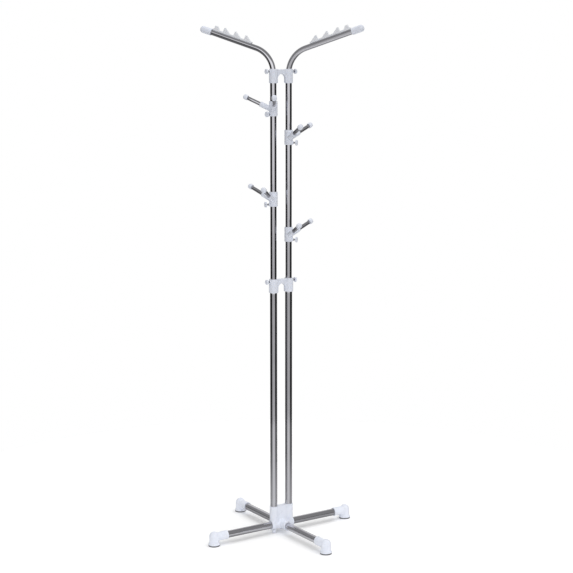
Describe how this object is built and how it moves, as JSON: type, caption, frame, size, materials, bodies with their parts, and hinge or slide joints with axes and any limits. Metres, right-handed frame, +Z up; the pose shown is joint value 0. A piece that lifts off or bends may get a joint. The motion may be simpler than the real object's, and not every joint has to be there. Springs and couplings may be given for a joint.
{
  "type": "coat rack",
  "caption": "Tall free-standing coat rack: cross base, telescopic twin steel poles, bent arms with toothed hanger rails, and clamp-on brackets with paired pegs.",
  "frame": {"origin": "on the floor, under the middle of the base and halfway between the two poles", "axes": "+Z up along the poles, +X from the left pole to the right pole along one pair of legs, -Y to the front along the other pair"},
  "size_m": [0.6012, 0.6012, 1.7922],
  "materials": {
    "polished_steel": "mirror-polished stainless steel",
    "screw_steel": "zinc-plated steel",
    "white_plastic": "glossy cool white moulded plastic",
    "rail_plastic": "semi-gloss white moulded plastic",
    "nylon": "natural nylon",
    "pad_rubber": "matt grey rubber"
  },
  "bodies": {
    "base": {"base_hub": "white_plastic", "foot_pads": "pad_rubber", "lower_pole_plugs": "nylon", "base_lock_screws": "white_plastic", "middle_connector": "white_plastic", "leg_tube_right": "polished_steel", "foot_elbow_right": "white_plastic", "leg_tube_rear": "polished_steel", "foot_elbow_rear": "white_plastic", "leg_tube_left": "polished_steel", "foot_elbow_left": "white_plastic", "leg_tube_front": "polished_steel", "foot_elbow_front": "white_plastic", "lower_pole_left": "polished_steel", "lower_pole_right": "polished_steel"},
    "upper_frame": {"upper_pole_guides": "nylon", "upper_connector": "white_plastic", "upper_pole_left": "polished_steel", "upper_pole_right": "polished_steel"},
    "arm_lift_left": {"arm_guide_left": "nylon"},
    "arm_left": {"arm_tube_left": "polished_steel", "arm_end_cap_left": "white_plastic", "hanger_rail_left": "rail_plastic"},
    "arm_lift_right": {"arm_guide_right": "nylon"},
    "arm_right": {"arm_tube_right": "polished_steel", "arm_end_cap_right": "white_plastic", "hanger_rail_right": "rail_plastic"},
    "hook_lift_left_upper": {"hook_liner_left_upper": "nylon"},
    "hook_left_upper": {"hook_sleeve_left_upper": "white_plastic", "hook_pegs_left_upper": "polished_steel", "peg_caps_left_upper": "white_plastic"},
    "screw_left_upper": {"screw_shank_left_upper": "screw_steel"},
    "knob_left_upper": {"screw_knob_left_upper": "white_plastic"},
    "hook_lift_right_upper": {"hook_liner_right_upper": "nylon"},
    "hook_right_upper": {"hook_sleeve_right_upper": "white_plastic", "hook_pegs_right_upper": "polished_steel", "peg_caps_right_upper": "white_plastic"},
    "screw_right_upper": {"screw_shank_right_upper": "screw_steel"},
    "knob_right_upper": {"screw_knob_right_upper": "white_plastic"},
    "hook_lift_left_lower": {"hook_liner_left_lower": "nylon"},
    "hook_left_lower": {"hook_sleeve_left_lower": "white_plastic", "hook_pegs_left_lower": "polished_steel", "peg_caps_left_lower": "white_plastic"},
    "screw_left_lower": {"screw_shank_left_lower": "screw_steel"},
    "knob_left_lower": {"screw_knob_left_lower": "white_plastic"},
    "hook_lift_right_lower": {"hook_liner_right_lower": "nylon"},
    "hook_right_lower": {"hook_sleeve_right_lower": "white_plastic", "hook_pegs_right_lower": "polished_steel", "peg_caps_right_lower": "white_plastic"},
    "screw_right_lower": {"screw_shank_right_lower": "screw_steel"},
    "knob_right_lower": {"screw_knob_right_lower": "white_plastic"},
    "screw_middle_left": {"screw_shank_middle_left": "screw_steel"},
    "knob_middle_left": {"screw_knob_middle_left": "white_plastic"},
    "screw_middle_right": {"screw_shank_middle_right": "screw_steel"},
    "knob_middle_right": {"screw_knob_middle_right": "white_plastic"},
    "screw_top_left": {"screw_shank_top_left": "screw_steel"},
    "knob_top_left": {"screw_knob_top_left": "white_plastic"},
    "screw_top_right": {"screw_shank_top_right": "screw_steel"},
    "knob_top_right": {"screw_knob_top_right": "white_plastic"}
  },
  "joints": [
    {"name": "height_slide", "type": "slide", "parent": "base", "child": "upper_frame", "axis": [0, 0, 1], "range_m": [-0.1, 0.12]},
    {"name": "arm_height_left", "type": "slide", "parent": "upper_frame", "child": "arm_lift_left", "axis": [0, 0, 1], "range_m": [0, 0.12]},
    {"name": "arm_swivel_left", "type": "hinge", "parent": "arm_lift_left", "child": "arm_left", "pos_m": [-0.0315, 0, 1.6], "axis": [0, 0, 1], "range_deg": [-34.5, 145.5]},
    {"name": "arm_height_right", "type": "slide", "parent": "upper_frame", "child": "arm_lift_right", "axis": [0, 0, 1], "range_m": [0, 0.12]},
    {"name": "arm_swivel_right", "type": "hinge", "parent": "arm_lift_right", "child": "arm_right", "pos_m": [0.0315, 0, 1.6], "axis": [0, 0, 1], "range_deg": [-34.5, 145.5]},
    {"name": "hook_height_left_upper", "type": "slide", "parent": "upper_frame", "child": "hook_lift_left_upper", "axis": [0, 0, 1], "range_m": [-0.125, 0.055]},
    {"name": "hook_swivel_left_upper", "type": "hinge", "parent": "hook_lift_left_upper", "child": "hook_left_upper", "pos_m": [-0.0315, 0, 1.485], "axis": [0, 0, 1], "range_deg": [-56, 43]},
    {"name": "screw_travel_left_upper", "type": "slide", "parent": "hook_left_upper", "child": "screw_left_upper", "axis": [-0.9936, -0.1132, 0], "range_m": [0, 0.002]},
    {"name": "knob_turn_left_upper", "type": "hinge", "parent": "screw_left_upper", "child": "knob_left_upper", "pos_m": [-0.0315, 0, 1.492], "axis": [-0.9936, -0.1132, 0], "range_deg": [0, 720]},
    {"name": "hook_height_right_upper", "type": "slide", "parent": "upper_frame", "child": "hook_lift_right_upper", "axis": [0, 0, 1], "range_m": [-0.13, 0.15]},
    {"name": "hook_swivel_right_upper", "type": "hinge", "parent": "hook_lift_right_upper", "child": "hook_right_upper", "pos_m": [0.0315, 0, 1.386], "axis": [0, 0, 1], "range_deg": [-2, 96]},
    {"name": "screw_travel_right_upper", "type": "slide", "parent": "hook_right_upper", "child": "screw_right_upper", "axis": [0.6884, -0.7254, 0], "range_m": [0, 0.002]},
    {"name": "knob_turn_right_upper", "type": "hinge", "parent": "screw_right_upper", "child": "knob_right_upper", "pos_m": [0.0315, 0, 1.393], "axis": [0.6884, -0.7254, 0], "range_deg": [0, 720]},
    {"name": "hook_height_left_lower", "type": "slide", "parent": "upper_frame", "child": "hook_lift_left_lower", "axis": [0, 0, 1], "range_m": [-0.12, 0.125]},
    {"name": "hook_swivel_left_lower", "type": "hinge", "parent": "hook_lift_left_lower", "child": "hook_left_lower", "pos_m": [-0.0315, 0, 1.175], "axis": [0, 0, 1], "range_deg": [-34, 65]},
    {"name": "screw_travel_left_lower", "type": "slide", "parent": "hook_left_lower", "child": "screw_left_lower", "axis": [-0.9636, 0.2672, 0], "range_m": [0, 0.002]},
    {"name": "knob_turn_left_lower", "type": "hinge", "parent": "screw_left_lower", "child": "knob_left_lower", "pos_m": [-0.0315, 0, 1.182], "axis": [-0.9636, 0.2672, 0], "range_deg": [0, 720]},
    {"name": "hook_height_right_lower", "type": "slide", "parent": "upper_frame", "child": "hook_lift_right_lower", "axis": [0, 0, 1], "range_m": [-0.02, 0.13]},
    {"name": "hook_swivel_right_lower", "type": "hinge", "parent": "hook_lift_right_lower", "child": "hook_right_lower", "pos_m": [0.0315, 0, 1.049], "axis": [0, 0, 1], "range_deg": [0, 98]},
    {"name": "screw_travel_right_lower", "type": "slide", "parent": "hook_right_lower", "child": "screw_right_lower", "axis": [0.6561, -0.7547, 0], "range_m": [0, 0.002]},
    {"name": "knob_turn_right_lower", "type": "hinge", "parent": "screw_right_lower", "child": "knob_right_lower", "pos_m": [0.0315, 0, 1.056], "axis": [0.6561, -0.7547, 0], "range_deg": [0, 720]},
    {"name": "screw_travel_middle_left", "type": "slide", "parent": "base", "child": "screw_middle_left", "axis": [-1, 0, 0], "range_m": [0, 0.002]},
    {"name": "knob_turn_middle_left", "type": "hinge", "parent": "screw_middle_left", "child": "knob_middle_left", "pos_m": [-0.0315, 0, 0.912], "axis": [-1, 0, 0], "range_deg": [0, 720]},
    {"name": "screw_travel_middle_right", "type": "slide", "parent": "base", "child": "screw_middle_right", "axis": [1, 0, 0], "range_m": [0, 0.002]},
    {"name": "knob_turn_middle_right", "type": "hinge", "parent": "screw_middle_right", "child": "knob_middle_right", "pos_m": [0.0315, 0, 0.912], "axis": [1, 0, 0], "range_deg": [0, 720]},
    {"name": "screw_travel_top_left", "type": "slide", "parent": "upper_frame", "child": "screw_top_left", "axis": [-1, 0, 0], "range_m": [0, 0.002]},
    {"name": "knob_turn_top_left", "type": "hinge", "parent": "screw_top_left", "child": "knob_top_left", "pos_m": [-0.0315, 0, 1.6365], "axis": [-1, 0, 0], "range_deg": [0, 720]},
    {"name": "screw_travel_top_right", "type": "slide", "parent": "upper_frame", "child": "screw_top_right", "axis": [1, 0, 0], "range_m": [0, 0.002]},
    {"name": "knob_turn_top_right", "type": "hinge", "parent": "screw_top_right", "child": "knob_top_right", "pos_m": [0.0315, 0, 1.6365], "axis": [1, 0, 0], "range_deg": [0, 720]}
  ],
  "couplings": [
    {"joint": "knob_turn_left_upper", "follows": "screw_travel_left_upper", "rad_per_m": 6283.2},
    {"joint": "knob_turn_right_upper", "follows": "screw_travel_right_upper", "rad_per_m": 6283.2},
    {"joint": "knob_turn_left_lower", "follows": "screw_travel_left_lower", "rad_per_m": 6283.2},
    {"joint": "knob_turn_right_lower", "follows": "screw_travel_right_lower", "rad_per_m": 6283.2},
    {"joint": "knob_turn_middle_left", "follows": "screw_travel_middle_left", "rad_per_m": 6283.2},
    {"joint": "knob_turn_middle_right", "follows": "screw_travel_middle_right", "rad_per_m": 6283.2},
    {"joint": "knob_turn_top_left", "follows": "screw_travel_top_left", "rad_per_m": 6283.2},
    {"joint": "knob_turn_top_right", "follows": "screw_travel_top_right", "rad_per_m": 6283.2}
  ]
}
